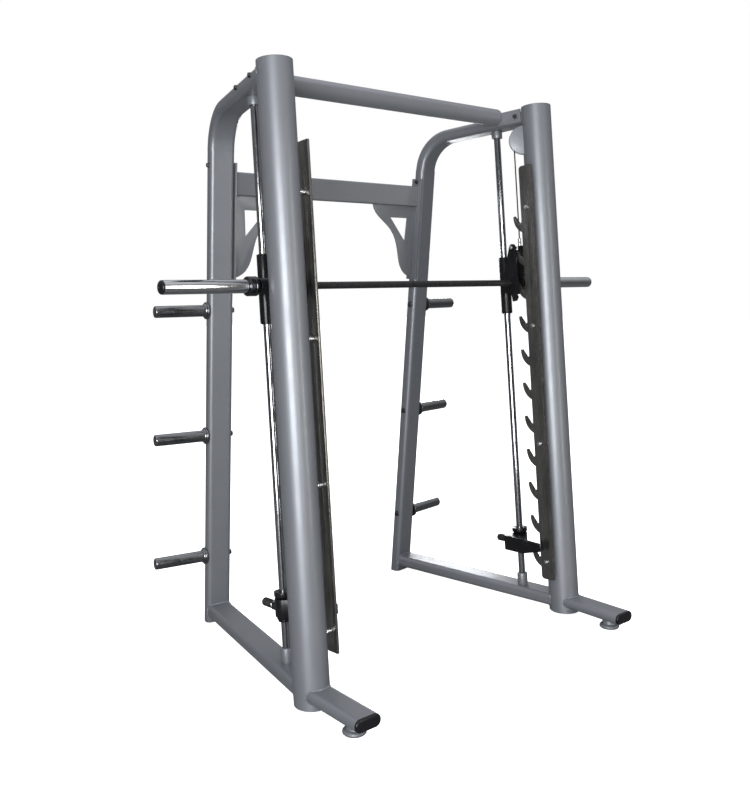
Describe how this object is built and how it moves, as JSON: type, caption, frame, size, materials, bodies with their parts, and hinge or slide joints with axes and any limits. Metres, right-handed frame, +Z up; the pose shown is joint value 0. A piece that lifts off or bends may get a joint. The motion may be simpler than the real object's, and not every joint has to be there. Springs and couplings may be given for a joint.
{
  "type": "smith machine",
  "caption": "Grey tube smith machine with leaning uprights, hooked racks, a counterbalanced sliding bar, safety stops and plate storage horns.",
  "frame": {"origin": "middle of the footprint at floor level", "axes": "+X along the bar, +Y from the front feet to the rear posts, +Z up"},
  "size_m": [2.31, 1.3438, 2.32],
  "materials": {
    "frame_paint": "gloss grey powder coat",
    "black_plastic": "moulded black plastic",
    "bolt_steel": "dark plated steel",
    "chrome": "polished chrome",
    "rack_steel": "dark plated plate",
    "bolt_chrome": "polished",
    "cable_jacket": "black jacket over steel cable",
    "black_paint": "satin black coat",
    "bearing_plastic": "plain bearing plastic",
    "black_bar": "black bar",
    "weight_iron": "painted cast iron",
    "pulley_plastic": "moulded pulley"
  },
  "bodies": {
    "frame": {"left_column": "frame_paint", "right_column": "frame_paint", "left_column_cap": "frame_paint", "right_column_cap": "frame_paint", "left_rear_post": "frame_paint", "right_rear_post": "frame_paint", "left_top_arm": "frame_paint", "right_top_arm": "frame_paint", "left_base_beam": "frame_paint", "right_base_beam": "frame_paint", "left_front_stub": "frame_paint", "right_front_stub": "frame_paint", "left_stub_cap": "black_plastic", "right_stub_cap": "black_plastic", "left_front_foot": "frame_paint", "right_front_foot": "frame_paint", "left_rod_collars": "frame_paint", "right_rod_collars": "frame_paint", "left_gusset": "frame_paint", "right_gusset": "frame_paint", "left_guide_rod": "chrome", "right_guide_rod": "chrome", "left_rack": "rack_steel", "right_rack": "rack_steel", "left_hooks": "rack_steel", "right_hooks": "rack_steel", "left_rack_bolts": "bolt_chrome", "right_rack_bolts": "bolt_chrome", "left_pulley_bracket": "frame_paint", "right_pulley_bracket": "frame_paint", "left_bar_cable": "cable_jacket", "right_bar_cable": "cable_jacket", "left_weight_cable": "cable_jacket", "right_weight_cable": "cable_jacket", "left_horns": "chrome", "right_horns": "chrome", "top_crossbeam": "frame_paint", "rear_crossbeam": "frame_paint", "frame_bolts": "bolt_steel"},
    "carriages": {"left_carriage": "black_paint", "right_carriage": "black_paint", "left_rod_bearings": "bearing_plastic", "right_rod_bearings": "bearing_plastic"},
    "bar_assembly": {"bar": "black_bar", "left_sleeve": "chrome", "right_sleeve": "chrome", "left_sleeve_cap": "black_plastic", "right_sleeve_cap": "black_plastic", "left_latch": "black_paint", "right_latch": "black_paint"},
    "left_weight": {"left_counterweight": "weight_iron"},
    "right_weight": {"right_counterweight": "weight_iron"},
    "left_pulley_wheel": {"left_pulley": "pulley_plastic"},
    "right_pulley_wheel": {"right_pulley": "pulley_plastic"},
    "left_stop_slider": {"left_stop_collar": "black_paint"},
    "right_stop_slider": {"right_stop_collar": "black_paint"},
    "left_stop_lever": {"left_stop": "black_paint", "left_stop_handle": "black_plastic"},
    "right_stop_lever": {"right_stop": "black_paint", "right_stop_handle": "black_plastic"}
  },
  "joints": [
    {"name": "bar_lift", "type": "slide", "parent": "frame", "child": "carriages", "axis": [0, 0.0698, 0.9976], "range_m": [-0.75, 0.3], "deforming": ["left_bar_cable", "right_bar_cable"]},
    {"name": "bar_turn", "type": "hinge", "parent": "carriages", "child": "bar_assembly", "pos_m": [0, -0.13715, 1.51018], "axis": [1, 0, 0], "range_deg": [-20, 10.5]},
    {"name": "left_weight_lift", "type": "slide", "parent": "frame", "child": "left_weight", "axis": [0, 0.0698, 0.9976], "range_m": [-0.305, 0.755], "deforming": ["left_weight_cable"]},
    {"name": "left_pulley_turn", "type": "hinge", "parent": "frame", "child": "left_pulley_wheel", "pos_m": [-0.65307, -0.14604, 2.16139], "axis": [0.6626, -0.7471, 0.0522], "range_deg": [-1250, 1250]},
    {"name": "left_stop_slide", "type": "slide", "parent": "frame", "child": "left_stop_slider", "axis": [0, 0.0698, 0.9976], "range_m": [0, 0.15]},
    {"name": "left_stop_turn", "type": "hinge", "parent": "left_stop_slider", "child": "left_stop_lever", "pos_m": [-0.669, -0.11209, 0.28445], "axis": [0, 0.0698, 0.9976], "range_deg": [-6, 50]},
    {"name": "right_weight_lift", "type": "slide", "parent": "frame", "child": "right_weight", "axis": [0, 0.0698, 0.9976], "range_m": [-0.305, 0.755], "deforming": ["right_weight_cable"]},
    {"name": "right_pulley_turn", "type": "hinge", "parent": "frame", "child": "right_pulley_wheel", "pos_m": [0.65307, -0.14604, 2.16139], "axis": [-0.6626, -0.7471, 0.0522], "range_deg": [-1250, 1250]},
    {"name": "right_stop_slide", "type": "slide", "parent": "frame", "child": "right_stop_slider", "axis": [0, 0.0698, 0.9976], "range_m": [0, 0.15]},
    {"name": "right_stop_turn", "type": "hinge", "parent": "right_stop_slider", "child": "right_stop_lever", "pos_m": [0.669, -0.11209, 0.28445], "axis": [0, 0.0698, 0.9976], "range_deg": [-50, 6]}
  ],
  "couplings": [
    {"joint": "left_weight_lift", "follows": "bar_lift", "ratio": -1},
    {"joint": "left_pulley_turn", "follows": "bar_lift", "rad_per_m": 27.778},
    {"joint": "right_weight_lift", "follows": "bar_lift", "ratio": -1},
    {"joint": "right_pulley_turn", "follows": "bar_lift", "rad_per_m": -27.778}
  ]
}
